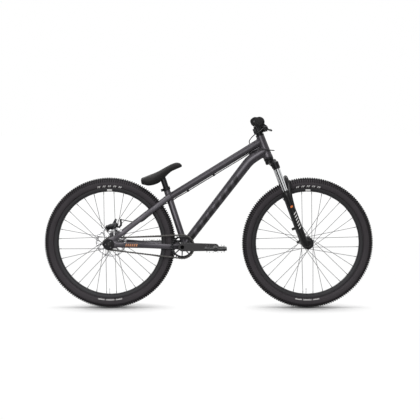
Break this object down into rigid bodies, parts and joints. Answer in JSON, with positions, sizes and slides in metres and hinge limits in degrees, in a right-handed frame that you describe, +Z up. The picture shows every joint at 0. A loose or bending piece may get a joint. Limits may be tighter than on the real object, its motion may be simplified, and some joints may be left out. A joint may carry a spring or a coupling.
{
  "type": "dirt jump bicycle",
  "caption": "Hardtail dirt jump bicycle with a short-travel suspension fork, single-speed chain drive, rear disc brake, riser handlebar and low saddle.",
  "frame": {"origin": "on the ground, halfway between the two axles, in the middle plane of the bicycle", "axes": "+X forward, +Y to the rider's left, +Z up"},
  "size_m": [1.703, 0.7418, 0.9914],
  "materials": {
    "frame_paint": "matt dark grey paint",
    "black_paint": "satin black paint",
    "black_alloy": "black anodised",
    "bright_steel": "bright stainless steel",
    "chrome": "polished chrome",
    "chain_steel": "oiled steel",
    "tyre_rubber": "matt black rubber with low knobs",
    "grip_rubber": "soft black rubber",
    "black_plastic": "matt black plastic",
    "housing_plastic": "satin black cable housing",
    "saddle_cover": "satin black vinyl"
  },
  "bodies": {
    "frame": {"head_tube": "frame_paint", "seat_tube": "frame_paint", "bottom_bracket_shell": "frame_paint", "top_tube": "frame_paint", "down_tube": "frame_paint", "seatstay_right": "frame_paint", "seatstay_left": "frame_paint", "chainstay_right": "frame_paint", "chainstay_left": "frame_paint", "dropout_right": "frame_paint", "dropout_left": "frame_paint", "seatstay_bridge": "frame_paint", "chain_tensioner_left": "chain_steel", "chain_tensioner_right": "chain_steel", "headset_lower_cup": "black_alloy", "headset_upper_cup": "black_alloy", "seat_clamp": "black_alloy", "rear_axle": "chain_steel", "chain": "chain_steel", "brake_caliper": "black_alloy", "brake_cable": "housing_plastic", "cable_guide_rear": "black_plastic", "cable_guide_front": "black_plastic"},
    "steering": {"fork_crown": "black_alloy", "stanchion_right": "chrome", "stanchion_left": "chrome", "stem": "black_alloy", "stem_face_plate": "black_alloy", "top_cap": "black_alloy", "handlebar": "black_alloy", "grip_right": "grip_rubber", "grip_left": "grip_rubber", "brake_lever_bracket": "black_alloy"},
    "fork_lowers": {"fork_lowers": "black_paint", "wiper_seal_right": "grip_rubber", "wiper_seal_left": "grip_rubber", "front_axle": "black_alloy"},
    "front_wheel": {"front_tyre": "tyre_rubber", "front_rim": "black_alloy", "front_spokes_right": "bright_steel", "front_spokes_left": "bright_steel", "front_hub": "black_alloy"},
    "rear_wheel": {"rear_tyre": "tyre_rubber", "rear_rim": "black_alloy", "rear_spokes_right": "bright_steel", "rear_spokes_left": "bright_steel", "rear_hub": "black_alloy", "brake_rotor": "bright_steel"},
    "cog": {"rear_cog": "chain_steel"},
    "cranks": {"crank_arm_right": "black_alloy", "crank_arm_left": "black_alloy", "chainring": "black_alloy", "pedal_axle_right": "chain_steel", "pedal_axle_left": "chain_steel"},
    "pedal_right": {"pedal_right": "black_plastic"},
    "pedal_left": {"pedal_left": "black_plastic"},
    "brake_lever": {"brake_lever_blade": "black_alloy"},
    "caliper_arm": {"caliper_arm": "black_alloy"},
    "seatpost": {"seat_post": "black_alloy"},
    "saddle": {"saddle": "saddle_cover"}
  },
  "joints": [
    {"name": "steering", "type": "hinge", "parent": "frame", "child": "steering", "pos_m": [0.47928, 0, 0.32707], "axis": [-0.3551, 0, 0.9348], "range_deg": [-80, 80], "deforming": ["brake_cable"]},
    {"name": "fork_travel", "type": "slide", "parent": "steering", "child": "fork_lowers", "axis": [-0.3551, 0, 0.9348], "range_m": [0, 0.1], "stiffness_N_per_m": 8000, "springref_m": -0.02},
    {"name": "front_wheel_spin", "type": "hinge", "parent": "fork_lowers", "child": "front_wheel", "pos_m": [0.512, 0, 0.3395], "axis": [0, 1, 0], "continuous": true},
    {"name": "rear_wheel_spin", "type": "hinge", "parent": "frame", "child": "rear_wheel", "pos_m": [-0.512, 0, 0.3395], "axis": [0, 1, 0], "continuous": true},
    {"name": "crank_spin", "type": "hinge", "parent": "frame", "child": "cranks", "pos_m": [-0.13567, 0, 0.325], "axis": [0, 1, 0], "continuous": true},
    {"name": "cog_spin", "type": "hinge", "parent": "frame", "child": "cog", "pos_m": [-0.512, 0, 0.3395], "axis": [0, 1, 0], "continuous": true},
    {"name": "pedal_spin_right", "type": "hinge", "parent": "cranks", "child": "pedal_right", "pos_m": [0.03433, -0.1347, 0.325], "axis": [0, 1, 0], "continuous": true},
    {"name": "pedal_spin_left", "type": "hinge", "parent": "cranks", "child": "pedal_left", "pos_m": [-0.30567, 0.1347, 0.325], "axis": [0, 1, 0], "continuous": true},
    {"name": "brake_lever_pull", "type": "hinge", "parent": "steering", "child": "brake_lever", "pos_m": [0.28519, -0.2073, 0.93389], "axis": [-0.6691, 0.0122, -0.7431], "range_deg": [0, 14], "stiffness_Nm_per_rad": 1.5, "springref_deg": -11.46},
    {"name": "caliper_arm_pull", "type": "hinge", "parent": "frame", "child": "caliper_arm", "pos_m": [-0.502, 0.0703, 0.4195], "axis": [0, 1, 0], "range_deg": [0, 21]},
    {"name": "seatpost_height", "type": "slide", "parent": "frame", "child": "seatpost", "axis": [-0.309, 0, 0.9511], "range_m": [-0.005, 0.08]},
    {"name": "saddle_tilt", "type": "hinge", "parent": "seatpost", "child": "saddle", "pos_m": [-0.24078, 0, 0.68735], "axis": [0, 1, 0], "range_deg": [-3, 8]}
  ],
  "couplings": [
    {"joint": "cog_spin", "follows": "crank_spin", "ratio": 2},
    {"joint": "caliper_arm_pull", "follows": "brake_lever_pull", "ratio": 1.5}
  ]
}
